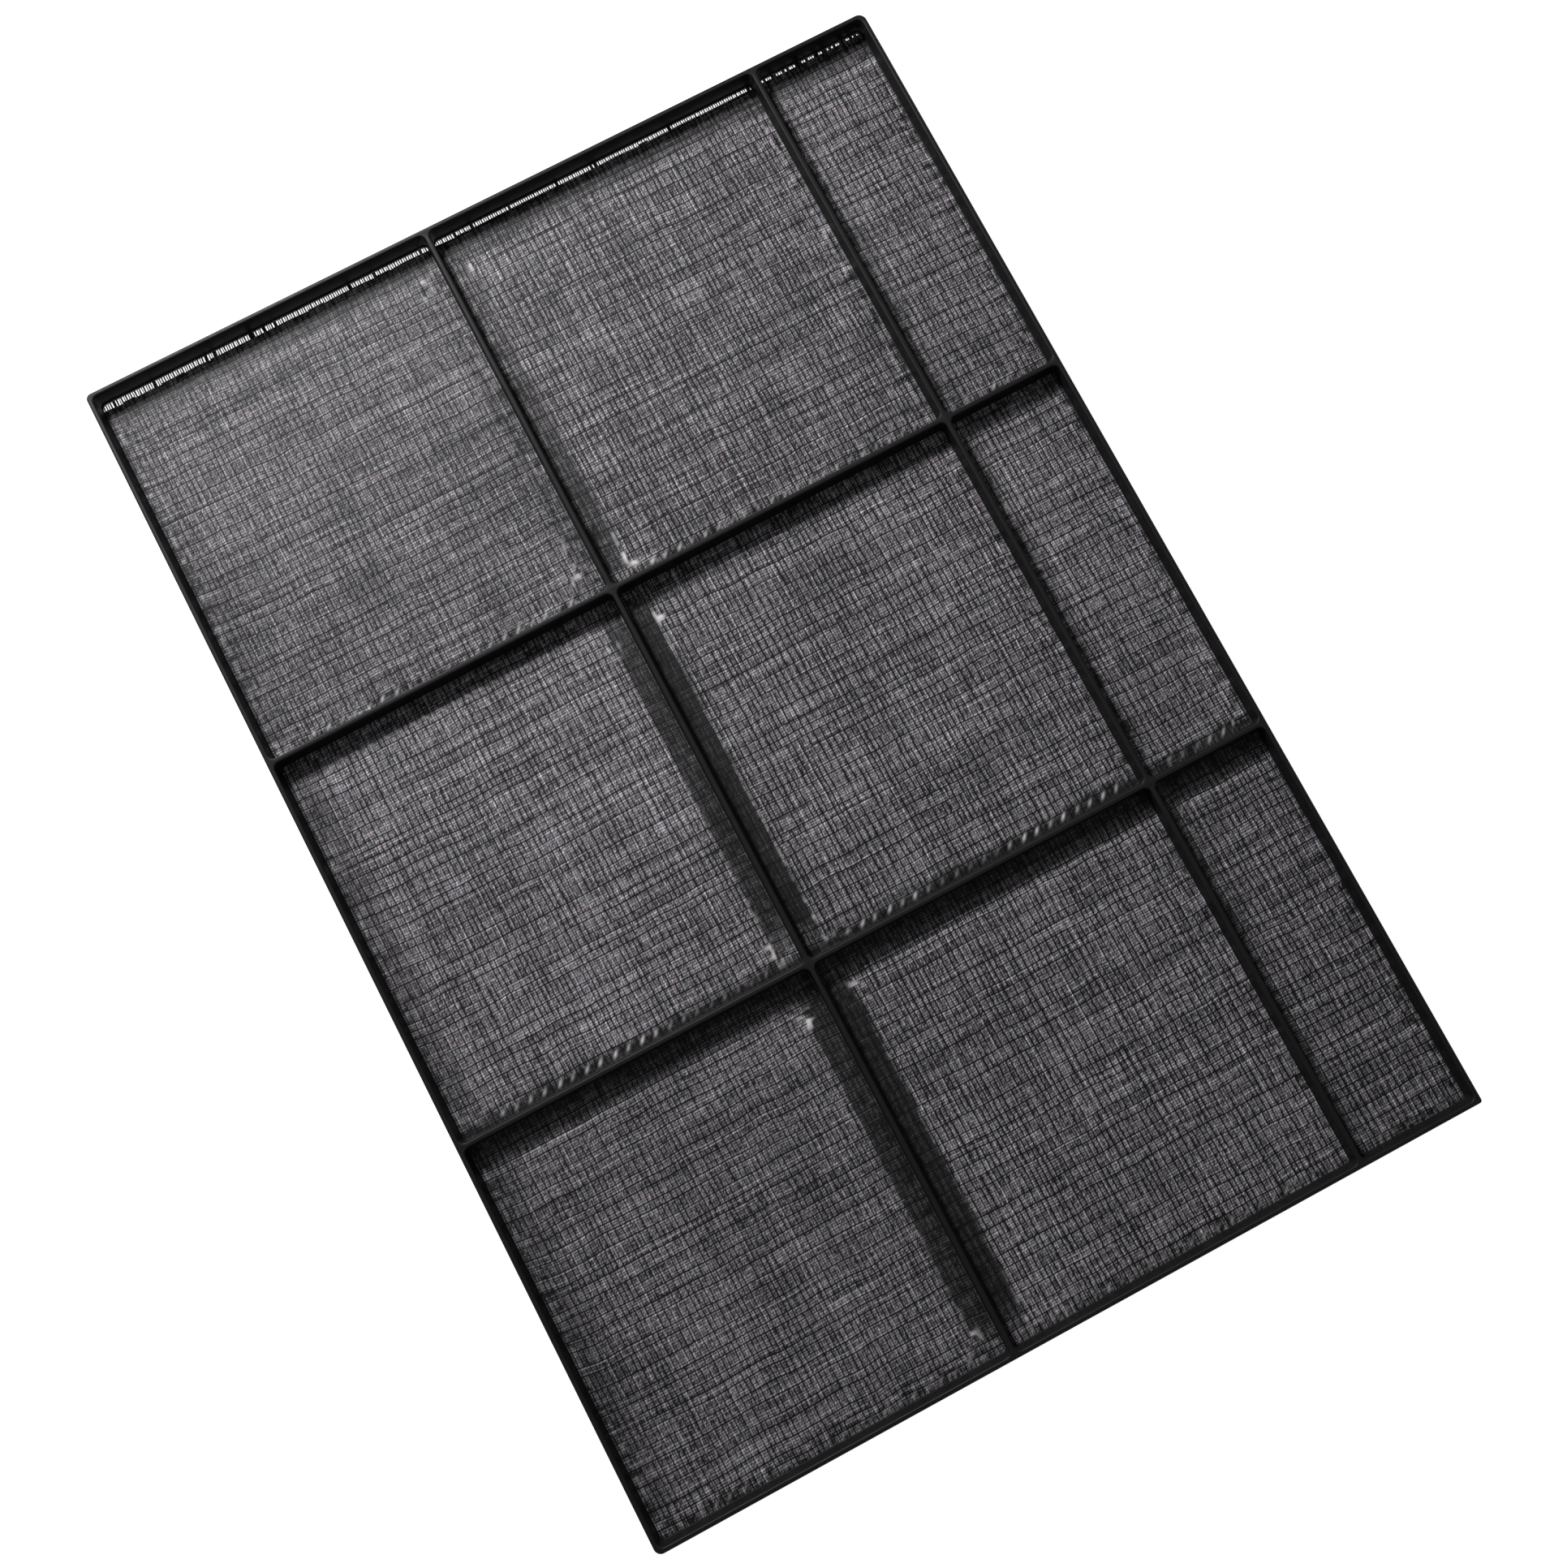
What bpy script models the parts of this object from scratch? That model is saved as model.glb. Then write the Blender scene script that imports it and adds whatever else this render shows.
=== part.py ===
"""Shallow divided tray: a one-piece moulded frame whose thin crossing ribs part nine fields of woven mesh.

+X runs from the left wall to the right wall, +Y from the near wall to the far wall and +Z up.
The origin is the middle of the underside. Lengths are in metres.
"""

import math

import bmesh
import bpy

MM = 0.001

# Overall size
WIDTH = 240.0 * MM
LENGTH = 340.0 * MM
HEIGHT = 7.0 * MM

# Walls and ribs, measured at their tops
WALL = 1.4 * MM
RIB = 1.5 * MM
NARROW_BAY = 33.4 * MM  # clear width of the right column; the two wide columns share what is left
NEAR_ROW = 110.5 * MM  # clear lengths of the near and middle rows; the far row takes what is left
MIDDLE_ROW = 111.4 * MM
DRAFT = 0.15 * MM  # how much further each upright face stands out at its foot than at its top
LIP_ROUND = 0.45 * MM  # rounding along every top edge

# Upright corners
FAR_LEFT_CORNER = 1.6 * MM
FAR_RIGHT_CORNER = 2.4 * MM
NEAR_LEFT_CORNER = 2.0 * MM
NEAR_RIGHT_CORNER = 0.8 * MM
BAY_CORNER = 1.5 * MM

# The mesh, and the groove all round each bay that holds its edge
MESH_THICKNESS = 0.4 * MM
MESH_HEIGHT = 1.2 * MM  # from the underside of the moulding to the underside of the mesh
MESH_INSERT = 0.3 * MM  # how far the mesh's edge stands inside the groove
SEAT_GAP = 0.3 * MM  # clearance between the mesh and the groove, beyond its edge and above and below it

CORNER_STEPS = 4
ROUND_STEPS = 2
OVERCUT = 2.0 * MM  # how far a cutter runs past the moulding above and below

# Worked out from the sizes above
WIDE_BAY = (WIDTH - 2 * WALL - 2 * RIB - NARROW_BAY) / 2
FAR_ROW = LENGTH - 2 * WALL - 2 * RIB - NEAR_ROW - MIDDLE_ROW
BAY_WIDTHS = {"left": WIDE_BAY, "centre": WIDE_BAY, "right": NARROW_BAY}
BAY_LENGTHS = {"near": NEAR_ROW, "middle": MIDDLE_ROW, "far": FAR_ROW}


def clear_scene():
    for obj in list(bpy.data.objects):
        bpy.data.objects.remove(obj, do_unlink=True)


def make_material(name, color, roughness):
    material = bpy.data.materials.new(name)
    material.use_nodes = True
    shader = material.node_tree.nodes["Principled BSDF"]
    shader.inputs["Base Color"].default_value = (*color, 1)
    shader.inputs["Roughness"].default_value = roughness
    shader.inputs["Metallic"].default_value = 0.0
    return material


def rounded_loop(width, length, radii, z):
    """A level rectangle centred on the Z axis, its corners rounded, anticlockwise from the far right."""
    signs = ((1, 1), (-1, 1), (-1, -1), (1, -1))
    points = []
    for quarter, (radius, (sx, sy)) in enumerate(zip(radii, signs)):
        centre_x = sx * (width / 2 - radius)
        centre_y = sy * (length / 2 - radius)
        for step in range(CORNER_STEPS + 1):
            angle = (quarter + step / CORNER_STEPS) * math.pi / 2
            points.append((centre_x + radius * math.cos(angle), centre_y + radius * math.sin(angle), z))
    return points


def grown_loop(width, length, radii, grow, z):
    """The same rectangle with every side moved out by grow, or in where grow is negative."""
    return rounded_loop(width + 2 * grow, length + 2 * grow, [radius + grow for radius in radii], z)


def lip_steps():
    """Steps of the quarter round along a top edge, as how far it has moved sideways and its height."""
    for step in range(ROUND_STEPS + 1):
        angle = step / ROUND_STEPS * math.pi / 2
        yield LIP_ROUND * (1 - math.cos(angle)), HEIGHT - LIP_ROUND * (1 - math.sin(angle))


def add_loft(bm, loops, centre=(0.0, 0.0)):
    """Adds one closed body through level loops of equal length, from the lowest to the highest."""
    rings = [[bm.verts.new((x + centre[0], y + centre[1], z)) for x, y, z in loop] for loop in loops]
    for lower, upper in zip(rings, rings[1:]):
        for index in range(len(lower)):
            following = (index + 1) % len(lower)
            bm.faces.new((lower[index], lower[following], upper[following], upper[index]))
    bm.faces.new(reversed(rings[0]))
    bm.faces.new(rings[-1])


def finish_mesh(bm, name):
    mesh = bpy.data.meshes.new(name)
    bmesh.ops.recalc_face_normals(bm, faces=bm.faces)
    bm.to_mesh(mesh)
    bm.free()
    mesh.shade_smooth()
    mesh.set_sharp_from_angle(angle=math.radians(35))
    return mesh


def add_object(name, mesh, location=(0.0, 0.0, 0.0)):
    obj = bpy.data.objects.new(name, mesh)
    obj.location = location
    bpy.context.collection.objects.link(obj)
    return obj


def bays():
    """Each bay's row, column, centre and clear size, measured at the tops of the ribs."""
    near_edge = -LENGTH / 2 + WALL
    for row_name, length in BAY_LENGTHS.items():
        left_edge = -WIDTH / 2 + WALL
        for column_name, width in BAY_WIDTHS.items():
            yield row_name, column_name, (left_edge + width / 2, near_edge + length / 2), (width, length)
            left_edge += width + RIB
        near_edge += length + RIB


def floor_rectangle(width, length):
    """A bay's outline at the mesh, where the draft has brought its sides in."""
    return width - 2 * DRAFT, length - 2 * DRAFT, [BAY_CORNER] * 4


def bay_cutter_loops(width, length):
    """The space that a bay takes out of the moulding, with the groove for the mesh's edge."""
    floor = floor_rectangle(width, length)
    top = (width, length, [BAY_CORNER] * 4)
    groove_low = MESH_HEIGHT - SEAT_GAP
    groove_high = MESH_HEIGHT + MESH_THICKNESS + SEAT_GAP
    loops = [
        rounded_loop(*floor, -OVERCUT),
        rounded_loop(*floor, groove_low),
        grown_loop(*floor, MESH_INSERT + SEAT_GAP, groove_low),
        grown_loop(*floor, MESH_INSERT + SEAT_GAP, groove_high),
        rounded_loop(*floor, groove_high),
    ]
    loops += [grown_loop(*top, sideways, z) for sideways, z in lip_steps()]
    loops.append(grown_loop(*top, LIP_ROUND, HEIGHT + OVERCUT))
    return loops


def build_frame(material):
    """The moulding: a rounded slab with a grooved bay cut through it for each field of mesh."""
    outline = (WIDTH, LENGTH, [FAR_RIGHT_CORNER, FAR_LEFT_CORNER, NEAR_LEFT_CORNER, NEAR_RIGHT_CORNER])
    slab = bmesh.new()
    add_loft(slab, [rounded_loop(*outline, 0.0)] + [grown_loop(*outline, -inset, z) for inset, z in lip_steps()])
    frame = add_object("frame", finish_mesh(slab, "frame"))
    frame.data.materials.append(material)

    cuts = bmesh.new()
    for _, _, centre, size in bays():
        add_loft(cuts, bay_cutter_loops(*size), centre)
    cutter = add_object("bay_cutters", finish_mesh(cuts, "bay_cutters"))
    cutter.hide_render = True
    cutter.display_type = "WIRE"

    boolean = frame.modifiers.new("bays", "BOOLEAN")
    boolean.operation = "DIFFERENCE"
    boolean.solver = "EXACT"
    boolean.object = cutter


def build_mesh_panels(material):
    """One flat field of mesh for each bay, its edge standing in the groove."""
    for row_name, column_name, centre, size in bays():
        name = f"mesh_{row_name}_{column_name}"
        floor = floor_rectangle(*size)
        panel = bmesh.new()
        add_loft(panel, [grown_loop(*floor, MESH_INSERT, z) for z in (0.0, MESH_THICKNESS)])
        mesh = finish_mesh(panel, name)
        mesh.materials.append(material)
        add_object(name, mesh, (*centre, MESH_HEIGHT))


clear_scene()
build_frame(make_material("black_moulding", (0.012, 0.012, 0.013), 0.5))
build_mesh_panels(make_material("woven_mesh", (0.11, 0.105, 0.11), 0.45))
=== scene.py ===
"""Looks of the divided mesh tray: one seamless black moulding round nine fields of woven mesh.

Lengths are in metres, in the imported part's frame: +X to the right wall, +Y to the far wall, +Z up.
Sheets are grids with two steps to a thread, so that every thread, gap and hole has vertices of its own.
"""

import math

import bmesh
import bpy
import numpy as np
from mathutils import Matrix, Vector


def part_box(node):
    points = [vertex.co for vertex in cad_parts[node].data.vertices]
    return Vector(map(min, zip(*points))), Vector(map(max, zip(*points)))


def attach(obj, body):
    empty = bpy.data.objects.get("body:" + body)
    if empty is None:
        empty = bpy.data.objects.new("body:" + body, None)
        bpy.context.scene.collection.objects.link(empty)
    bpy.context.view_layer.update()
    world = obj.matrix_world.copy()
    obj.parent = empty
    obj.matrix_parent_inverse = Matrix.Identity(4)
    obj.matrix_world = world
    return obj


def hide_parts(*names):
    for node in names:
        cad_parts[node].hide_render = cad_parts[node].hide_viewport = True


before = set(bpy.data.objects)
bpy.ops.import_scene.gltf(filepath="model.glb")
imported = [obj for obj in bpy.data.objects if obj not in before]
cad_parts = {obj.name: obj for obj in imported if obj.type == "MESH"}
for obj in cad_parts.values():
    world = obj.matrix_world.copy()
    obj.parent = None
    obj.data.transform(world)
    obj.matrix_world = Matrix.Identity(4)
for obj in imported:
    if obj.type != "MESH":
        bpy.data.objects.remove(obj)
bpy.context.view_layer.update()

MM = 0.001
FIRST_SEED = 100
ROWS = ("near", "middle", "far")
COLUMNS = ("left", "centre", "right")

# The moulding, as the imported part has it
DRAFT = 0.15 * MM  # how much further an upright face stands out at its foot than at its top
LIP_ROUND = 0.45 * MM
BAY_CORNER = 1.5 * MM
OUTER_CORNERS = (2.4 * MM, 1.6 * MM, 2.0 * MM, 0.8 * MM)  # far right, far left, near left, near right
MESH_INSERT = 0.3 * MM  # how far the mesh's edge stands inside the moulding
SEAT_GAP = 0.3 * MM

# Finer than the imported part
CORNER_STEPS = 8
ROUND_STEPS = 5
FOOT_FILLET = 0.2 * MM  # hollow rounding where the walls and ribs meet the mesh
BASE_ROUND = 0.25 * MM
OVERCUT = 2.0 * MM
SHARP_ANGLE = math.radians(35)
LIGHTER_TOP_FROM, LIGHTER_TOP_TO = 6.55 * MM, 7.0 * MM  # heights between which the lips are painted lighter, a painted highlight

# The weave
WARP_PITCH = 0.68 * MM  # between threads that run along Y
WEFT_PITCH = 0.72 * MM  # between threads that run along X
THREAD_RISE = 0.055 * MM  # a crossing stands this much above the middle of the sheet, a hole as much below
WARP_SWELL = 0.3  # share by which that varies along a warp thread
WEFT_SWELL = 0.35  # share of it by which weft threads rise and fall
WARP_BODY_SPAN = 6.0 * MM  # lengths over which the threads' rise and brightness vary
WEFT_BODY_SPAN = 30.0 * MM
REPEAT = (1.40, 0.80, 0.95, 1.20, 0.95, 0.80)  # brightness of the warp threads, in a repeat of six
STRAY = (0.5, 1.0, 1.2, 0.7, 1.2, 1.0)  # how much each of the six wanders, the two bright ones least

# How far the threads wander in the plane, and the lengths along Y and X over which they do
STILL = 2.5 * MM  # threads come to rest within this of the moulding
WARP_WANDER, WARP_WANDER_SPAN = 0.06 * MM, 3.0 * MM
WEFT_WANDER, WEFT_WANDER_SPAN = 0.07 * MM, 9.0 * MM
SWAY, SWAY_SPANS = 0.10 * MM, (4.5 * MM, 6.0 * MM)  # neighbouring threads together, along X
ROLL, ROLL_SPANS = 0.30 * MM, (12.0 * MM, 7.0 * MM)  # neighbouring threads together, along Y
BOW, BOW_REACH = 1.1 * MM, 11.0 * MM  # how far weft threads bend towards +Y at the left, and how far in
BOW_DIP = 0.25  # share of it by which they bend back in the middle
BOW_SHARE = {"left": 1.0, "centre": 0.35, "right": 0.35}

# Where gaps open between the threads
THREES = 0.3  # share of the groups of warp threads that have three threads, not two
COURSE = (3, 7)  # weft threads from one darker gap to the next, from the first to less than the second
GAP_FLOOR, GAP_AT_GROUP = 0.06, 0.74  # how far warp threads part, anywhere and beside a group
GAP_BY_COURSE = 0.38  # how much that differs between courses
GAP_ALONG, GAP_ALONG_SPAN = 0.22, 2.4 * MM  # and along a thread
GATHER = 0.10 * MM  # how far a warp thread moves aside from a gap
GAP_SINK = 0.05 * MM
WEFT_GAP, WEFT_GAP_SWING, WEFT_GAP_SPAN = 0.92, 0.55, 24.0 * MM

# The raised middle of a bay, called the plateau
PLATEAU_RISE = 0.16 * MM  # how far it stands above the margin
PLATEAU_CORNER = 6.5 * MM
SLOPE = 1.3 * MM  # width of the slope from the margin up to the plateau
RIPPLE = 0.45 * MM  # how far the slope swings in and out with the puckers
SAG, SAG_SPANS = 0.05 * MM, (11.0 * MM, 11.0 * MM)

# The puckers across the slope: ridges with a painted highlight and a hollow beside each
TICK_PITCH = len(REPEAT) * WARP_PITCH
TICK_PLACE = {"near": 1.8 * MM, "middle": 2.1 * MM, "far": 2.6 * MM}  # from a bay's near side
TICK_STRENGTH = {"near": 0.35, "middle": 1.00, "far": 0.60}
TICK_LEAST = 0.35  # strength of the weakest as a share of the strongest
TICK_SHIFT = 0.3 * MM  # how far one may be out of step
TICK_SLANT = 0.7
TICK_WIDTH, TICK_LENGTH, TICK_RISE = 0.50 * MM, 0.72 * MM, 0.22 * MM
TICK_STRETCHES = 4  # stretches of a bay between which the strength changes
TICK_STRETCH_FLOOR, TICK_STRETCH_BIAS = 0.25, 0.7
TICK_ROW_END, TICK_ROW_FADE = 2.2 * MM, 1.0 * MM  # beyond the line of puckers, where their row ends
SECOND_ROW = 0.4  # strength of the row on the far side, in the left column
HOLLOW_ASIDE, HOLLOW_WIDTH, HOLLOW_LENGTH = 1.2 * MM, 0.7 * MM, 1.1 * MM
# painted shade: how much the hollow beside each pucker is darkened
HOLLOW_SHADE = 0.6

# Crumpling along the border and in the plateau's corners beside the left long rib
CRUMPLE_SPANS = (1.6 * MM, 1.6 * MM)
BORDER_CRUMPLE, CORNER_CRUMPLE = 0.06 * MM, 0.12 * MM
BORDER, BORDER_FADE = 6.0 * MM, 4.0 * MM
CORNER_FROM_LEFT, CORNER_FROM_RIGHT = 7.5 * MM, 6.5 * MM
CORNER_FROM_NEAR, CORNER_FROM_FAR = 6.0 * MM, 12.0 * MM
CORNER_WIDTH, CORNER_LENGTH = 1.6 * MM, 3.0 * MM

# How bright the threads are, before the painted shade of the margins
WARP_SPREAD, WARP_BODY = 0.15, 0.24  # between threads, and along one
WEFT_SPREAD, WEFT_BODY = 0.28, 0.35
WARP_BETWEEN, WEFT_BETWEEN, HOLE = 0.60, 0.80, 0.22  # between crossings, as shares of a crossing's brightness
WARP_IN_GAP, WEFT_IN_GAP, HOLE_IN_GAP = 0.57, 0.80, 0.22  # what an opened gap takes away from each
GRAIN = 0.50
COURSE_TONE, COURSE_TONE_SPAN = 0.26, 13.0 * MM
PATCH_TONE, PATCH_SPANS = 0.09, (14.0 * MM, 9.0 * MM)
BORDER_TONE = 0.55
TONE_SCALE = 0.38  # from brightness to a place on the threads' colour ramp

# Painted shade: how the margins are darkened. Beside the cross ribs and walls this is painted shade and
# shadow; beside the long ribs and side walls it makes darker bands, partly painted shade
END_FADE = 12.0 * MM  # length over which a long rib's margin fades in from each end
END_SHARE = 0.35  # what is left of it at its ends
FAR_END_FADE = 1.4  # in the far row it also fades out towards the far wall
SHARP_FROM, SHARP_EDGE = 0.6, 1.1 * MM  # margins darker than the first have an edge as narrow as the second
STEEPNESS = {"near": 1.25, "middle": 1.25, "far": 1.45}  # how soon near and far margins are at full strength
CAST_SHARE, CAST_REACH, CAST_FADE = 0.35, 3.8 * MM, 2.0 * MM  # what is left where a real shadow falls
JAG, JAG_SPANS = 0.28 * MM, (0.9 * MM, 6.0 * MM)  # how ragged the long ribs' margins are

# Painted highlights: glints painted near white on the puckers' ridges, in crumpled corners and in flecks
# round a plateau's near end
RIM_GLINT = {"near": 0.12, "middle": 0.25, "far": 0.40}  # flecks round a plateau's near end
RIM_WIDTH, RIM_ALONG, RIM_ACROSS = 0.5 * MM, 30.0 * MM, 7.0 * MM
RIM_GAIN = 2.0  # how soon crumpling turns to flecks there
PUCKER_GLINT, CORNER_GLINT = 1.1, 0.9
CORNER_GAIN, CORNER_START = 1.6, 0.4  # and in the corners

# The slits along the far wall, where the last cross threads are missing
SLIT_LENGTH, SLIT_SHORTER = 2.4 * MM, 1.1 * MM  # at the left, and by how much less at the right
SLIT_CLOSED, SLIT_CLOSED_RIGHT = 0.07, 0.57  # share of the slits left closed, the second past SLIT_RIGHT
SLIT_RIGHT = 0.85  # of the frame's width

# The camera, the lamp and the table
CAMERA_PLACE = Vector((-0.02565, -0.0571, 0.4285))
CAMERA_TARGET = Vector((-0.00135, -0.0126, 0.0070))
CAMERA_TURN = math.radians(27.8)  # from +Y towards +X, to the direction that is upward in the picture
CAMERA_LENS = 36.90
CAMERA_SENSOR = 36.0
LAMP_PLACE = Vector((-0.150, 0.594, 0.476))
LAMP_SIZE = 0.145
LAMP_POWER = 6.5
TABLE_HALF = 4.0
TABLE_GREY, TABLE_GLOW = 0.30, 0.97
WORLD_LIGHT, WORLD_SEEN = 0.16, 1.0  # what the world gives to the scene, and what the camera sees of it


# ---------------------------------------------------------------- helpers

def smooth(values):
    """Eases values from 0 to 1."""
    held = np.clip(values, 0.0, 1.0)
    return held * held * (3 - 2 * held)


def lattice(rng, lines, samples, knots):
    """So many lines of smooth random values from -1 to 1, with so many knots along each."""
    values = rng.uniform(-1, 1, (lines, knots + 2))
    places = np.linspace(0, knots, samples)
    index = places.astype(int)
    part = smooth(places - index)
    return values[:, index] * (1 - part) + values[:, index + 1] * part


def blotches(rng, rows, columns, row_knots, column_knots):
    """Smooth random values from -1 to 1 over a grid."""
    lines = lattice(rng, row_knots + 2, columns, column_knots)
    places = np.linspace(0, row_knots, rows)
    index = places.astype(int)
    part = smooth(places - index)[:, None]
    return lines[index] * (1 - part) + lines[index + 1] * part


def in_gaps(threads, axis):
    """Values that threads have, with the mean of two neighbours put between each pair."""
    threads = np.moveaxis(threads, axis, 0)
    full = np.empty((2 * len(threads) - 1, *threads.shape[1:]))
    full[0::2] = threads
    full[1::2] = (threads[:-1] + threads[1:]) / 2
    return np.moveaxis(full, 0, axis)


# ---------------------------------------------------------------- the moulding

def rounded_loop(low, high, radii, grow, z):
    """A level rectangle from low to high with rounded corners, every side moved out by grow."""
    signs = ((1, 1), (-1, 1), (-1, -1), (1, -1))
    centre = ((low[0] + high[0]) / 2, (low[1] + high[1]) / 2)
    half = ((high[0] - low[0]) / 2 + grow, (high[1] - low[1]) / 2 + grow)
    points = []
    for quarter, (radius, (sx, sy)) in enumerate(zip(radii, signs)):
        grown = radius + grow
        for step in range(CORNER_STEPS + 1):
            angle = (quarter + step / CORNER_STEPS) * math.pi / 2
            x = centre[0] + sx * (half[0] - grown) + grown * math.cos(angle)
            y = centre[1] + sy * (half[1] - grown) + grown * math.sin(angle)
            points.append((x, y, z))
    return points


def quarter_steps(radius):
    """Steps of a quarter round, as how far it has moved sideways and upwards."""
    for step in range(ROUND_STEPS + 1):
        angle = step / ROUND_STEPS * math.pi / 2
        yield radius * (1 - math.cos(angle)), radius * math.sin(angle)


def add_loft(bm, loops):
    """Adds one closed body through level loops of equal length, from the lowest to the highest."""
    rings = [[bm.verts.new(point) for point in loop] for loop in loops]
    for lower, upper in zip(rings, rings[1:]):
        for index in range(len(lower)):
            following = (index + 1) % len(lower)
            bm.faces.new((lower[index], lower[following], upper[following], upper[index]))
    bm.faces.new(reversed(rings[0]))
    bm.faces.new(rings[-1])


def object_from(bm, name):
    mesh = bpy.data.meshes.new(name)
    bmesh.ops.recalc_face_normals(bm, faces=bm.faces)
    bm.to_mesh(mesh)
    bm.free()
    obj = bpy.data.objects.new(name, mesh)
    bpy.context.collection.objects.link(obj)
    return obj


def panel_box(row, column):
    """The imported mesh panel's box for one bay."""
    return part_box(f"mesh_{row}_{column}")


def bay_loops(low, high, top):
    """The space that a bay takes out of the moulding, from under the base to above the lip."""
    insert = Vector((MESH_INSERT, MESH_INSERT))
    floor = (low.xy + insert, high.xy - insert, [BAY_CORNER] * 4)
    groove_low, groove_high = low.z - SEAT_GAP, high.z + SEAT_GAP
    groove = MESH_INSERT + SEAT_GAP
    loops = [rounded_loop(*floor, BASE_ROUND, -OVERCUT)]
    loops += [rounded_loop(*floor, BASE_ROUND - up, side) for side, up in quarter_steps(BASE_ROUND)]
    loops += [rounded_loop(*floor, 0.0, groove_low)]
    loops += [rounded_loop(*floor, groove, groove_low), rounded_loop(*floor, groove, groove_high)]
    for side, up in quarter_steps(FOOT_FILLET):
        loops.append(rounded_loop(*floor, up - FOOT_FILLET, groove_high + side))
    for side, up in quarter_steps(LIP_ROUND):
        loops.append(rounded_loop(*floor, DRAFT + side, top - LIP_ROUND + up))
    loops.append(rounded_loop(*floor, DRAFT + LIP_ROUND, top + OVERCUT))
    return loops


def build_moulding(material):
    """The one-piece frame: a rounded slab with nine bays cut through it."""
    low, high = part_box("frame")
    outline = (low.xy, high.xy, OUTER_CORNERS)
    slab = bmesh.new()
    loops = [rounded_loop(*outline, up - BASE_ROUND, low.z + side) for side, up in quarter_steps(BASE_ROUND)]
    loops += [rounded_loop(*outline, -side, high.z - LIP_ROUND + up) for side, up in quarter_steps(LIP_ROUND)]
    add_loft(slab, loops)
    moulding = object_from(slab, "frame_moulding")

    cuts = bmesh.new()
    for row in ROWS:
        for column in COLUMNS:
            add_loft(cuts, bay_loops(*panel_box(row, column), high.z))
    cutter = object_from(cuts, "bay_cutters")
    boolean = moulding.modifiers.new("bays", "BOOLEAN")
    boolean.operation = "DIFFERENCE"
    boolean.solver = "EXACT"
    boolean.object = cutter
    evaluated = moulding.evaluated_get(bpy.context.evaluated_depsgraph_get())
    moulding.data = bpy.data.meshes.new_from_object(evaluated)
    moulding.modifiers.clear()
    bpy.data.objects.remove(cutter, do_unlink=True)

    moulding.data.name = "frame_moulding"
    moulding.data.shade_smooth()
    moulding.data.set_sharp_from_angle(angle=SHARP_ANGLE)
    moulding.data.materials.clear()
    moulding.data.materials.append(material)
    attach(moulding, "root")
    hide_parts("frame")


# ---------------------------------------------------------------- the mesh

# For each bay: the width of its left, right, near and far margins in mm, how dark each is painted as shade,
# how strongly its threads differ, and how bright they are, a painted light level set for how brightly each
# bay is lit.
MARGINS = {
    "far_left": ((8.0, 5.5, 4.2, 11.5), (0.30, 0.38, 0.20, 0.90), 0.70, 0.95),
    "far_centre": ((6.6, 1.5, 4.2, 11.5), (0.68, 0.10, 0.28, 0.88), 0.95, 0.965),
    "far_right": ((4.5, 2.5, 4.2, 11.5), (0.50, 0.20, 0.28, 0.85), 0.85, 0.94),
    "middle_left": ((8.0, 6.0, 5.5, 6.0), (0.48, 0.83, 0.90, 0.55), 0.85, 1.12),
    "middle_centre": ((6.3, 1.5, 6.0, 6.0), (0.92, 0.20, 0.92, 0.60), 1.0, 1.04),
    "middle_right": ((4.5, 2.5, 6.0, 6.0), (0.55, 0.25, 0.80, 0.60), 0.9, 1.05),
    "near_left": ((8.0, 6.6, 3.0, 9.0), (0.45, 0.83, 0.35, 0.75), 0.70, 0.98),
    "near_centre": ((6.9, 1.5, 3.0, 9.0), (0.91, 0.20, 0.35, 0.80), 1.0, 1.03),
    "near_right": ((4.5, 2.5, 3.0, 9.0), (0.55, 0.25, 0.35, 0.80), 0.95, 0.92),
}


def plateau_distance(x, y, low, high, margins):
    """How far each point is outside the rounded plateau of a bay, less than zero inside it."""
    left, right, near, far = margins
    centre_x, half_x = (low.x + left + high.x - right) / 2, (high.x - right - low.x - left) / 2
    centre_y, half_y = (low.y + near + high.y - far) / 2, (high.y - far - low.y - near) / 2
    across = np.abs(x - centre_x) - half_x + PLATEAU_CORNER
    along = np.abs(y - centre_y) - half_y + PLATEAU_CORNER
    outside = np.hypot(np.maximum(across, 0), np.maximum(along, 0))
    return outside + np.minimum(np.maximum(across, along), 0) - PLATEAU_CORNER


class Grid:
    """The vertices of one sheet, two steps to a thread, with the sheet's own random numbers."""

    def __init__(self, row, column, number):
        self.row, self.column = row, column
        self.rng = np.random.default_rng(FIRST_SEED + number)
        self.low, self.high = panel_box(row, column)
        self.width, self.length = self.high.x - self.low.x, self.high.y - self.low.y
        self.warps = round(self.width / WARP_PITCH) + 1
        self.wefts = round(self.length / WEFT_PITCH) + 1
        self.columns, self.rows = 2 * self.warps - 1, 2 * self.wefts - 1
        self.u, self.v = np.meshgrid(np.linspace(0, 1, self.columns), np.linspace(0, 1, self.rows))
        self.place = np.arange(self.warps) % len(REPEAT)  # of each warp thread in the repeat

    def along(self, lines, span):
        """For each of so many lines, smooth random values down the rows that change over each span."""
        return lattice(self.rng, lines, self.rows, int(self.length / span))

    def across(self, lines, span):
        """The same across the columns."""
        return lattice(self.rng, lines, self.columns, int(self.width / span))

    def over(self, spans):
        """Smooth random values over the whole grid, that change over spans along Y and X."""
        row_knots, column_knots = max(2, int(self.length / spans[0])), max(2, int(self.width / spans[1]))
        return blotches(self.rng, self.rows, self.columns, row_knots, column_knots)

    def spread(self, *shape):
        """Random values from -1 to 1, each apart from its neighbours."""
        return self.rng.uniform(-1, 1, shape)

    def depths(self, x, y):
        """How far each point is from the left, right, near and far sides."""
        return x - self.low.x, self.high.x - x, y - self.low.y, self.high.y - y


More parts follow.
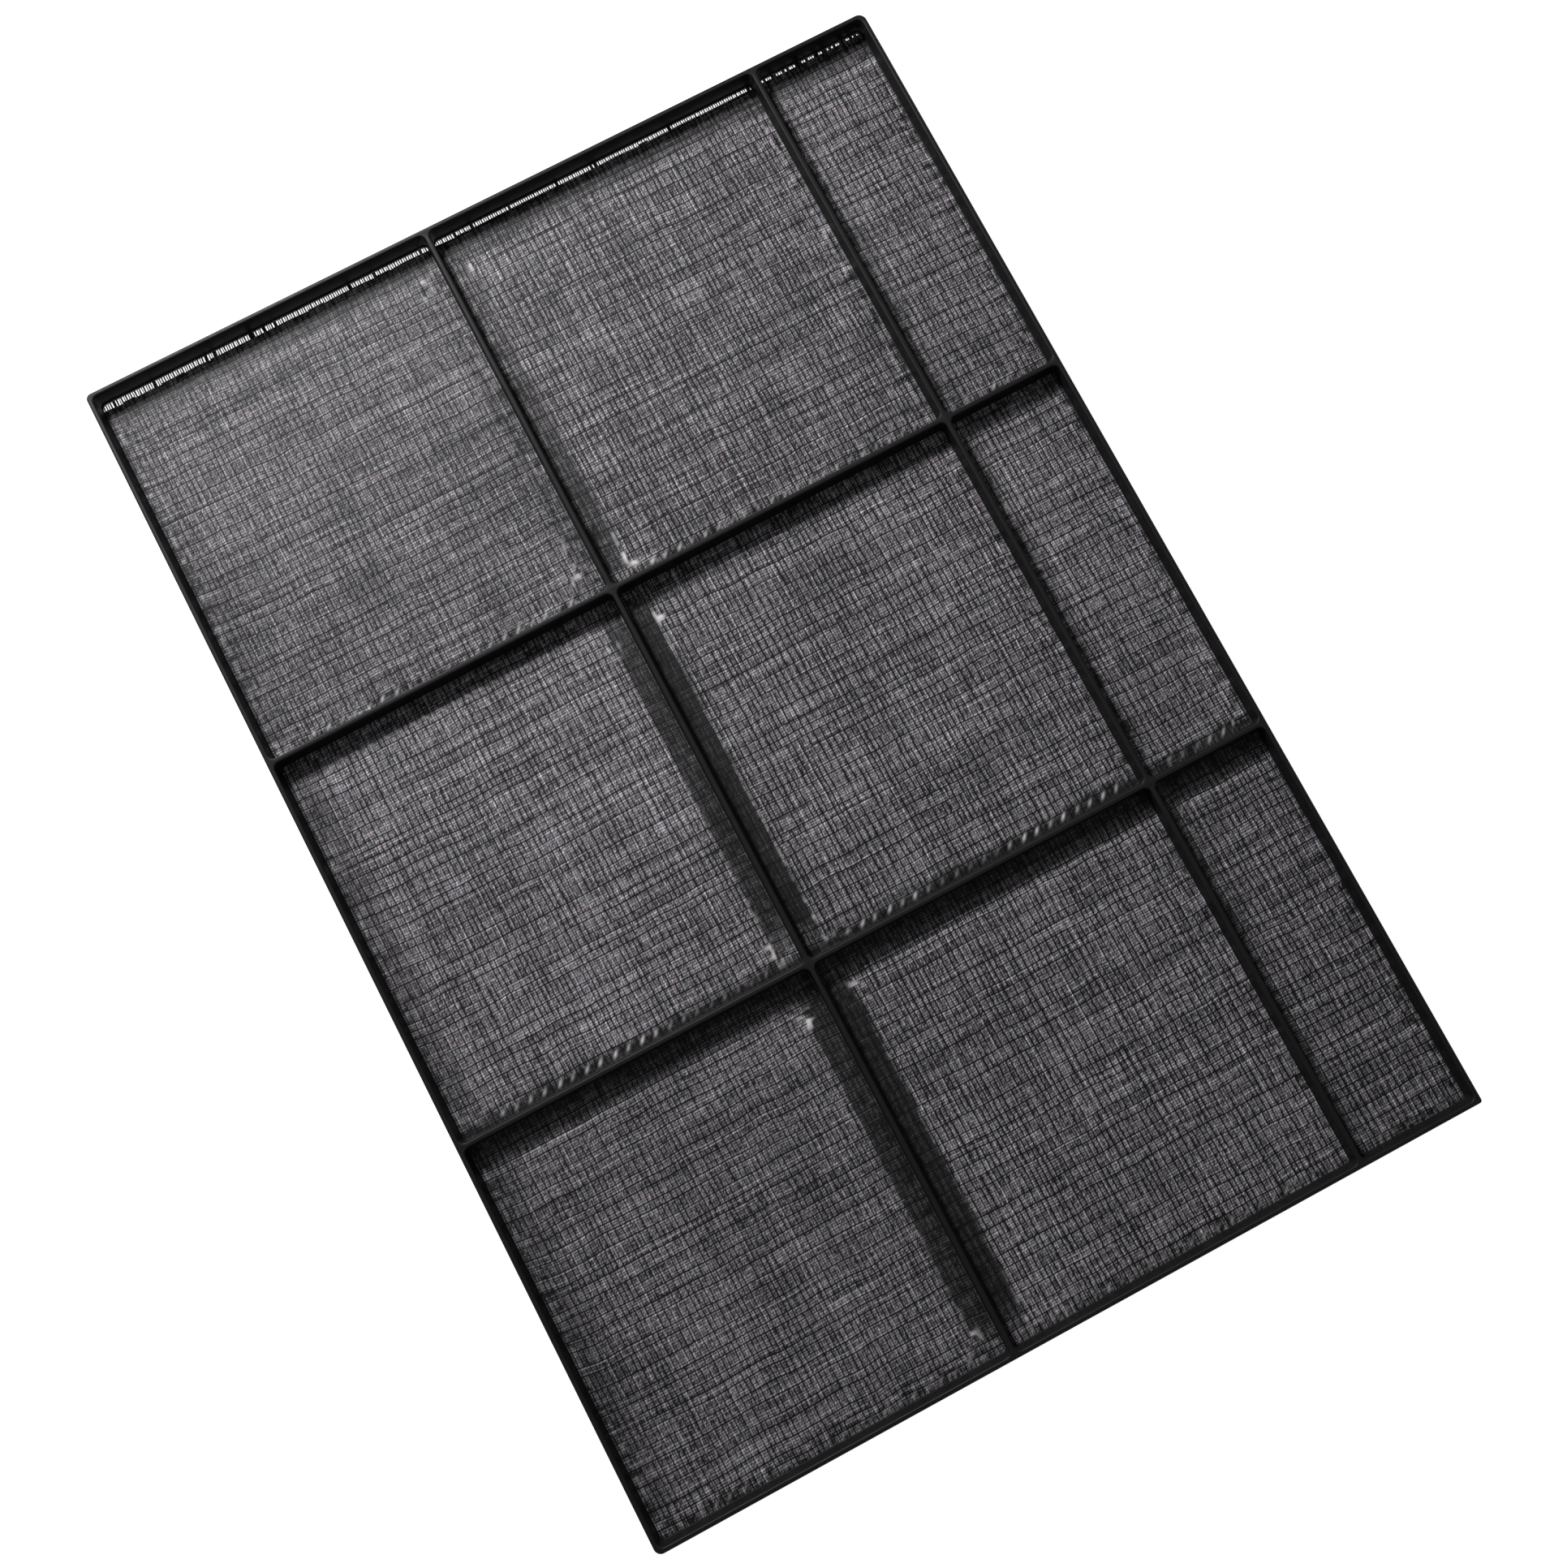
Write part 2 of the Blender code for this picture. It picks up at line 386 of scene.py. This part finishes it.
def laid_threads(grid):
    """Where each vertex lies and how free it is to move, how far warp threads part, and where courses end."""
    u, v = grid.u, grid.v
    free_x = smooth(np.minimum(u, 1 - u) * grid.width / STILL)
    free_y = smooth(np.minimum(v, 1 - v) * grid.length / STILL)
    warp_drift = grid.along(grid.warps, WARP_WANDER_SPAN) * WARP_WANDER * np.array(STRAY)[grid.place][:, None]
    sizes = 2 + (grid.rng.uniform(0, 1, grid.warps) < THREES)
    first = np.isin(np.arange(grid.warps), np.cumsum(sizes))[:, None]  # the first thread of each group
    ends = np.cumsum(grid.rng.integers(*COURSE, grid.rows))
    course = np.searchsorted(ends, np.arange(grid.rows) // 2)
    by_course = grid.spread(course.max() + 1, grid.warps)[course].T
    parted = GAP_ALONG * grid.along(grid.warps, GAP_ALONG_SPAN) + GAP_BY_COURSE * by_course
    parted = smooth(parted + GAP_FLOOR + GAP_AT_GROUP * first)
    warp_drift += GATHER * (parted - np.roll(parted, -1, axis=0))
    weft_drift = grid.across(grid.wefts, WEFT_WANDER_SPAN) * WEFT_WANDER
    x = grid.low.x + u * grid.width + (in_gaps(warp_drift.T, 1) + SWAY * grid.over(SWAY_SPANS)) * free_x
    y = grid.low.y + v * grid.length + (in_gaps(weft_drift, 0) + ROLL * grid.over(ROLL_SPANS)) * free_y
    bow = BOW * (np.exp(-u * grid.width / BOW_REACH) - BOW_DIP * np.sin(math.pi * u))
    y += bow * np.sin(math.pi * v) * BOW_SHARE[grid.column]
    return x, y, free_x * free_y, parted, ends


def puckers(grid, x, y, outside, far):
    """Ridges slanted across the near edge of the plateau, and the hollow beside each, from 0 to 1."""
    phase = x / TICK_PITCH
    tick = np.abs(np.round(phase)).astype(int)
    moved = grid.rng.uniform(-TICK_SHIFT, TICK_SHIFT, tick.max() + 1)[tick]
    aside = (phase - np.round(phase)) * TICK_PITCH + TICK_SLANT * outside + moved
    strength = grid.rng.uniform(TICK_LEAST, 1.0, tick.max() + 1)[tick] * TICK_STRENGTH[grid.row]
    stretch = smooth(TICK_STRETCH_BIAS + lattice(grid.rng, 1, grid.columns, TICK_STRETCHES)[0])
    strength = strength * (TICK_STRETCH_FLOOR + (1 - TICK_STRETCH_FLOOR) * stretch)
    shown = smooth((grid.low.y + TICK_PLACE[grid.row] + TICK_ROW_END - y) / TICK_ROW_FADE)
    if grid.column == "left" and grid.row != "far":
        shown = shown + SECOND_ROW * smooth((y - grid.high.y + far + TICK_ROW_END) / TICK_ROW_FADE)
    ridge = np.exp(-(aside / TICK_WIDTH) ** 2 - (outside / TICK_LENGTH) ** 2)
    hollow = np.exp(-((aside - HOLLOW_ASIDE) / HOLLOW_WIDTH) ** 2 - (outside / HOLLOW_LENGTH) ** 2)
    return strength * shown * ridge, strength * shown * hollow


def crumpled_corners(grid, x, y):
    """Patches at the plateau's corners beside the left long rib, from 0 to 1."""
    patch = np.zeros_like(x)
    if grid.column == "right":
        return patch
    if grid.column == "left":
        side = grid.high.x - CORNER_FROM_RIGHT
    else:
        side = grid.low.x + CORNER_FROM_LEFT
    for end in (grid.low.y + CORNER_FROM_NEAR, grid.high.y - CORNER_FROM_FAR):
        away = ((x - side) / CORNER_WIDTH) ** 2 + ((y - end) / CORNER_LENGTH) ** 2
        patch = np.maximum(patch, np.exp(-away))
    return patch


def woven(grid, parted, ends, contrast, crumple, border):
    """How far the threads lift each vertex, and how bright it is before the margins are darkened."""
    warp_line = (np.arange(grid.columns) % 2 == 0)[None, :]
    weft_line = (np.arange(grid.rows) % 2 == 0)[:, None]
    crossing, hole = warp_line & weft_line, ~warp_line & ~weft_line
    warp_body = in_gaps(grid.along(grid.warps, WARP_BODY_SPAN).T, 1)
    weft_body = in_gaps(grid.across(grid.wefts, WEFT_BODY_SPAN), 0)
    rise = THREAD_RISE * np.where(crossing, 1.0, np.where(hole, -1.0, 0.0)) * (1 + WARP_SWELL * warp_body)
    rise += THREAD_RISE * WEFT_SWELL * weft_body

    warp_at, weft_at = np.meshgrid(np.arange(grid.columns) // 2, np.arange(grid.rows) // 2)
    strong = 1 + contrast * (np.array(REPEAT)[grid.place] - 1)
    warp_tone = in_gaps((strong * (1 + WARP_SPREAD * grid.spread(grid.warps)))[None, :], 1)
    warp_tone = warp_tone * (1 + WARP_BODY * warp_body)
    weft_tone = 1.0 + WEFT_SPREAD * in_gaps(grid.spread(grid.wefts, 1), 0) + WEFT_BODY * weft_body
    top_tone = np.where((warp_at + weft_at) % 2 == 0, warp_tone, (weft_tone + warp_tone) / 2)

    warp_gap = np.zeros((grid.rows, grid.columns))
    warp_gap[:, 1::2] = parted[1:].T * contrast
    line = grid.across(grid.rows, WEFT_GAP_SPAN)
    after_course = np.isin(np.arange(grid.rows) // 2, ends)[:, None] & ~weft_line
    weft_gap = smooth(line * WEFT_GAP_SWING + WEFT_GAP) * after_course
    rise -= GAP_SINK * (np.where(warp_line, 0.0, warp_gap) + np.where(weft_line, 0.0, weft_gap))

    tone = np.where(crossing, top_tone, 0.0)
    tone = np.where(warp_line & ~weft_line, warp_tone * (WARP_BETWEEN - WARP_IN_GAP * weft_gap), tone)
    tone = np.where(~warp_line & weft_line, weft_tone * (WEFT_BETWEEN - WEFT_IN_GAP * warp_gap), tone)
    tone = np.where(hole, HOLE - HOLE_IN_GAP * np.maximum(warp_gap, weft_gap), tone)
    tone *= 1.0 + GRAIN * grid.spread(*tone.shape)
    tone *= 1.0 + COURSE_TONE * grid.across(grid.rows, COURSE_TONE_SPAN) * ~after_course
    tone *= 1.0 + PATCH_TONE * grid.over(PATCH_SPANS)
    tone *= 1.0 + BORDER_TONE * crumple * border
    return rise, tone


def painted_margin_shade(grid, x, y, reach, margin_shade_strength):
    """Painted shade: how dark the margins are, from 0 to 1. The near and far ones are painted shade and
    shadow beside the cross ribs and walls; the left and right ones are ragged and fade at their ends.
    """
    jag = JAG * (grid.along(1, JAG_SPANS[0]) + grid.along(1, JAG_SPANS[1])).T
    left, right, near, far = grid.depths(x, y)
    fade = smooth(near / END_FADE) * smooth(far / END_FADE)
    if grid.row == "far":
        fade *= smooth(FAR_END_FADE * far / grid.length)
    total = np.zeros_like(x)
    for depth, wide, dark in zip((left, right), reach[:2], margin_shade_strength[:2]):
        edge = SHARP_EDGE if dark > SHARP_FROM else wide
        band = smooth((wide + jag - depth) / edge + 0.5)
        total = np.maximum(total, band * dark * (END_SHARE + (1 - END_SHARE) * fade))
    # painted shade and shadow at the near and far margins, eased off where the lamp's own shadow already
    # falls
    for depth, wide, dark in zip((near, far), reach[2:], margin_shade_strength[2:]):
        band = smooth(STEEPNESS[grid.row] * (1 - depth / wide))
        if depth is far and grid.row != "near":
            band *= CAST_SHARE + (1 - CAST_SHARE) * smooth((depth - CAST_REACH) / CAST_FADE)
        total = np.maximum(total, band * dark)
    return total


def painted_glints(grid, x, y, reach, outside, pucker, crumple, corner):
    """Painted highlights: how far each vertex is painted near white as a glint, on ridges, in crumpled
    corners and in flecks round the near end.
    """
    painted_glint = PUCKER_GLINT * pucker + CORNER_GLINT * corner * smooth(crumple * CORNER_GAIN - CORNER_START)
    if grid.column != "right":
        rib = grid.high.x - reach[1] if grid.column == "left" else grid.low.x + reach[0]
        away = (outside / RIM_WIDTH) ** 2 + (y - grid.low.y) / RIM_ALONG + ((x - rib) / RIM_ACROSS) ** 2
        painted_glint = painted_glint + np.exp(-away) * RIM_GLINT[grid.row] * smooth(RIM_GAIN * crumple)
    return np.clip(painted_glint, 0, 1)


def open_slits(grid, x, y):
    """Marks the quads left open between threads along the far wall."""
    quad_x, quad_y = x[:-1, :-1], y[:-1, :-1]
    if grid.row != "far":
        return np.zeros(quad_x.shape, bool)
    box_low, box_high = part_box("frame")
    share = (quad_x - box_low.x) / (box_high.x - box_low.x)
    beside_wall = quad_y > grid.high.y - MESH_INSERT - (SLIT_LENGTH - SLIT_SHORTER * share)
    between = np.arange(quad_x.shape[1]) % 2 == 1
    chance = np.where(share[0] > SLIT_RIGHT, SLIT_CLOSED_RIGHT, SLIT_CLOSED)
    closed = grid.rng.uniform(0, 1, quad_x.shape[1]) < chance
    return beside_wall & (between & ~closed)[None, :]


def build_sheet(row, column, number, material):
    """One field of woven mesh, stretched across its bay with its edges in the moulding."""
    name = f"{row}_{column}"
    grid = Grid(row, column, number)
    margins, margin_shade_strength, contrast, brightness = MARGINS[name]
    reach = [margin * MM for margin in margins]
    x, y, free, parted, ends = laid_threads(grid)

    left, right, _, far = reach
    outside = plateau_distance(x, y, grid.low, grid.high, (left, right, TICK_PLACE[row], far))
    ripple = RIPPLE * np.cos(2 * math.pi * x / TICK_PITCH) * (grid.v < 0.5)
    inside = smooth(-(outside + ripple) / SLOPE + 0.5)
    middle = (grid.low.z + grid.high.z) / 2
    z = middle - PLATEAU_RISE / 2 + PLATEAU_RISE * inside + SAG * grid.over(SAG_SPANS) * inside
    pucker, hollow = puckers(grid, x, y, outside, far)
    crumple = grid.over(CRUMPLE_SPANS)
    corner = crumpled_corners(grid, x, y)
    border = smooth((BORDER - np.minimum.reduce(grid.depths(x, y))) / BORDER_FADE)
    z += TICK_RISE * (pucker - hollow) + CORNER_CRUMPLE * crumple * corner
    z += BORDER_CRUMPLE * crumple * border * free

    rise, tone = woven(grid, parted, ends, contrast, crumple, border)
    z += rise
    # painted light and shade: each bay's threads made lighter or darker for how brightly that bay is lit
    tone *= brightness
    # painted shade: the darkened margins, and the hollows beside the puckers
    shade = 1.0 - (1.0 - painted_margin_shade(grid, x, y, reach, margin_shade_strength)) * (1.0 - HOLLOW_SHADE * hollow)
    # painted highlights: glints on ridges, corners and flecks
    painted_glint = painted_glints(grid, x, y, reach, outside, pucker, crumple, corner)

    x, y = keep_in_corners(x, y, grid.low, grid.high)
    points = np.stack((x, y, z), -1).reshape(-1, 3)
    at = np.arange(grid.rows * grid.columns).reshape(grid.rows, grid.columns)
    quads = np.stack((at[:-1, :-1], at[:-1, 1:], at[1:, 1:], at[1:, :-1]), -1)
    quads = quads[~open_slits(grid, x, y)]
    sheet = object_from_arrays(f"woven_mesh_{name}", points, quads)
    give_values(sheet.data, "tone", tone)
    give_values(sheet.data, "shade", shade)
    give_values(sheet.data, "painted_glint", painted_glint)
    sheet.data.materials.append(material)
    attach(sheet, "root")
    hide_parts(f"mesh_{name}")


def keep_in_corners(x, y, low, high):
    """Draws the sheet's corners in to the groove's rounded ones."""
    radius = BAY_CORNER + MESH_INSERT
    centre_x, centre_y = (low.x + high.x) / 2, (low.y + high.y) / 2
    out_x = np.abs(x - centre_x) - (high.x - low.x) / 2 + radius
    out_y = np.abs(y - centre_y) - (high.y - low.y) / 2 + radius
    reach = np.hypot(np.maximum(out_x, 0), np.maximum(out_y, 0))
    pull = np.where((out_x > 0) & (out_y > 0), radius / np.maximum(reach, radius), 1.0)
    x = x - np.sign(x - centre_x) * np.maximum(out_x, 0) * (1 - pull)
    y = y - np.sign(y - centre_y) * np.maximum(out_y, 0) * (1 - pull)
    return x, y


def object_from_arrays(name, points, quads):
    mesh = bpy.data.meshes.new(name)
    mesh.vertices.add(len(points))
    mesh.vertices.foreach_set("co", points.astype(np.float32).ravel())
    mesh.loops.add(quads.size)
    mesh.loops.foreach_set("vertex_index", quads.astype(np.int32).ravel())
    mesh.polygons.add(len(quads))
    mesh.polygons.foreach_set("loop_start", np.arange(0, quads.size, 4, dtype=np.int32))
    mesh.update(calc_edges=True)
    mesh.shade_smooth()
    obj = bpy.data.objects.new(name, mesh)
    bpy.context.collection.objects.link(obj)
    return obj


def give_values(mesh, name, values):
    attribute = mesh.attributes.new(name, "FLOAT", "POINT")
    attribute.data.foreach_set("value", values.astype(np.float32).ravel())


# ---------------------------------------------------------------- materials

def new_material(name):
    """A material with its node tree and its Principled shader."""
    material = bpy.data.materials.new(name)
    material.use_nodes = True
    tree = material.node_tree
    return material, tree, tree.nodes["Principled BSDF"]


def noise(tree, scale, detail=3.0, rough=0.55):
    """A noise texture on the piece's own coordinates, scale in features to a metre."""
    place = tree.nodes.new("ShaderNodeTexCoord")
    texture = tree.nodes.new("ShaderNodeTexNoise")
    texture.inputs["Scale"].default_value = scale
    texture.inputs["Detail"].default_value = detail
    texture.inputs["Roughness"].default_value = rough
    tree.links.new(place.outputs["Object"], texture.inputs["Vector"])
    return texture.outputs["Fac"]


def ramp(tree, source, stops):
    """A colour ramp on source. stops are (place, colour or grey)."""
    node = tree.nodes.new("ShaderNodeValToRGB")
    while len(node.color_ramp.elements) < len(stops):
        node.color_ramp.elements.new(0.5)
    for element, (place, colour) in zip(node.color_ramp.elements, stops):
        element.position = place
        element.color = (*colour, 1.0) if isinstance(colour, tuple) else (colour, colour, colour, 1.0)
    tree.links.new(source, node.inputs["Fac"])
    return node.outputs["Color"]


def bump(tree, shader, height, strength, distance):
    node = tree.nodes.new("ShaderNodeBump")
    node.inputs["Strength"].default_value = strength
    node.inputs["Distance"].default_value = distance
    tree.links.new(height, node.inputs["Height"])
    tree.links.new(node.outputs["Normal"], shader.inputs["Normal"])


def mix(tree, share, first, second, kind="MIX"):
    node = tree.nodes.new("ShaderNodeMix")
    node.data_type = "RGBA"
    node.blend_type = kind
    for socket, value in ((node.inputs["Factor"], share), (node.inputs[6], first), (node.inputs[7], second)):
        if isinstance(value, bpy.types.NodeSocket):
            tree.links.new(value, socket)
        else:
            socket.default_value = value
    return node.outputs[2]


def attribute(tree, name):
    node = tree.nodes.new("ShaderNodeAttribute")
    node.attribute_name = name
    return node.outputs["Fac"]


def moulding_material():
    """Near-black moulded plastic: fine grain, uneven sheen, a painted highlight that makes the lips a little
    lighter at the top, a few scuffs.
    """
    material, tree, shader = new_material("black_moulding")
    body = ramp(tree, noise(tree, 90, 4), [(0.3, (0.0055, 0.0055, 0.0058)), (0.7, (0.0090, 0.0088, 0.0090))])
    place = tree.nodes.new("ShaderNodeTexCoord")
    split = tree.nodes.new("ShaderNodeSeparateXYZ")
    tree.links.new(place.outputs["Object"], split.inputs["Vector"])
    height = tree.nodes.new("ShaderNodeMapRange")
    height.inputs["From Min"].default_value = LIGHTER_TOP_FROM
    height.inputs["From Max"].default_value = LIGHTER_TOP_TO
    tree.links.new(split.outputs["Z"], height.inputs["Value"])
    # painted highlight: the lips' tops a little lighter
    lighter_top = mix(tree, height.outputs["Result"], body, (0.011, 0.0108, 0.011, 1.0))
    scuffs = ramp(tree, noise(tree, 330, 6, 0.7), [(0.70, 0.0), (0.76, 1.0)])
    tree.links.new(mix(tree, scuffs, lighter_top, (0.09, 0.088, 0.086, 1.0)), shader.inputs["Base Color"])
    gloss = ramp(tree, noise(tree, 260, 5, 0.6), [(0.25, 0.42), (0.75, 0.56)])
    tree.links.new(gloss, shader.inputs["Roughness"])
    shader.inputs["Specular IOR Level"].default_value = 0.18
    bump(tree, shader, noise(tree, 3800, 2, 0.5), 0.35, 0.03 * MM)
    return material


def mesh_material():
    """Dark monofilament: satin threads with a faint purple cast over black holes, painted shade in the
    margins and hollows, and painted highlights at creases.
    """
    material, tree, shader = new_material("woven_monofilament")
    tone = attribute(tree, "tone")
    scale = tree.nodes.new("ShaderNodeMath")
    scale.operation = "MULTIPLY"
    scale.inputs[1].default_value = TONE_SCALE
    tree.links.new(tone, scale.inputs[0])
    grey = ramp(tree, scale.outputs["Value"], [(0.0, (0.002, 0.002, 0.002)), (0.10, (0.008, 0.008, 0.008)),
                                               (1.0, (0.97, 0.92, 0.97))])
    cast = ramp(tree, noise(tree, 700, 2, 0.6), [(0.35, (1.0, 0.90, 0.98)), (0.65, (0.92, 1.0, 1.0))])
    fibres = mix(tree, 1.0, grey, cast, "MULTIPLY")
    # painted shade: margins and hollows mixed towards black
    shaded = mix(tree, attribute(tree, "shade"), fibres, (0.002, 0.002, 0.002, 1.0))
    # painted highlights: glints on the puckers, corners and flecks, mixed towards near white
    painted_glints = mix(tree, attribute(tree, "painted_glint"), shaded, (0.90, 0.88, 0.87, 1.0))
    tree.links.new(painted_glints, shader.inputs["Base Color"])
    gloss = ramp(tree, noise(tree, 1500, 3, 0.6), [(0.3, 0.50), (0.7, 0.68)])
    tree.links.new(gloss, shader.inputs["Roughness"])
    shader.inputs["Specular IOR Level"].default_value = 0.25
    bump(tree, shader, noise(tree, 5200, 2, 0.6), 0.25, 0.03 * MM)
    return material


def table_material():
    """A matt table that glows, so that it is nearly white all over whatever the lamp does."""
    material, _, shader = new_material("pale_table")
    shader.inputs["Base Color"].default_value = (TABLE_GREY, TABLE_GREY, TABLE_GREY, 1.0)
    shader.inputs["Roughness"].default_value = 0.9
    shader.inputs["Specular IOR Level"].default_value = 0.0
    shader.inputs["Emission Color"].default_value = (1.0, 1.0, 1.0, 1.0)
    shader.inputs["Emission Strength"].default_value = TABLE_GLOW
    return material


# ---------------------------------------------------------------- the stage

def build_table():
    signs = ((-1, -1), (1, -1), (1, 1), (-1, 1))
    bm = bmesh.new()
    bm.faces.new([bm.verts.new((x * TABLE_HALF, y * TABLE_HALF, 0.0)) for x, y in signs])
    table = object_from(bm, "table")
    table.data.materials.append(table_material())


def build_world():
    """Dim light from all round; what the camera sees of it is as pale as the table."""
    world = bpy.data.worlds.new("studio")
    bpy.context.scene.world = world
    world.use_nodes = True
    tree = world.node_tree
    background = tree.nodes["Background"]
    background.inputs["Color"].default_value = (1.0, 1.0, 1.0, 1.0)
    path = tree.nodes.new("ShaderNodeLightPath")
    strength = tree.nodes.new("ShaderNodeMapRange")
    strength.inputs["To Min"].default_value = WORLD_LIGHT
    strength.inputs["To Max"].default_value = WORLD_SEEN
    tree.links.new(path.outputs["Is Camera Ray"], strength.inputs["Value"])
    tree.links.new(strength.outputs["Result"], background.inputs["Strength"])


def aimed(obj, place, target, upward):
    """Places obj looking at target, with upward as near the top of its view as can be."""
    forward = (target - place).normalized()
    up = (upward - forward * forward.dot(upward)).normalized()
    right = forward.cross(up)
    turn = Matrix((right, up, -forward)).transposed().to_4x4()
    obj.matrix_world = Matrix.Translation(place) @ turn


def build_lamp():
    light = bpy.data.lights.new("key", "AREA")
    light.shape = "DISK"
    light.size = LAMP_SIZE
    light.energy = LAMP_POWER
    lamp = bpy.data.objects.new("key", light)
    bpy.context.collection.objects.link(lamp)
    lamp.visible_camera = False
    aimed(lamp, LAMP_PLACE, Vector((0, 0, 0)), Vector((0, 0, 1)))


def build_camera():
    data = bpy.data.cameras.new("camera")
    data.lens = CAMERA_LENS
    data.sensor_width = CAMERA_SENSOR
    data.clip_start = 0.01
    camera = bpy.data.objects.new("camera", data)
    bpy.context.collection.objects.link(camera)
    aimed(camera, CAMERA_PLACE, CAMERA_TARGET, Vector((math.sin(CAMERA_TURN), math.cos(CAMERA_TURN), 0.0)))
    bpy.context.scene.camera = camera


# ---------------------------------------------------------------- the scene

bpy.context.scene.view_settings.view_transform = "Standard"
build_camera()
build_lamp()
build_world()
build_table()
build_moulding(moulding_material())
threads = mesh_material()
for number, (row, column) in enumerate((row, column) for row in ROWS for column in COLUMNS):
    build_sheet(row, column, number, threads)
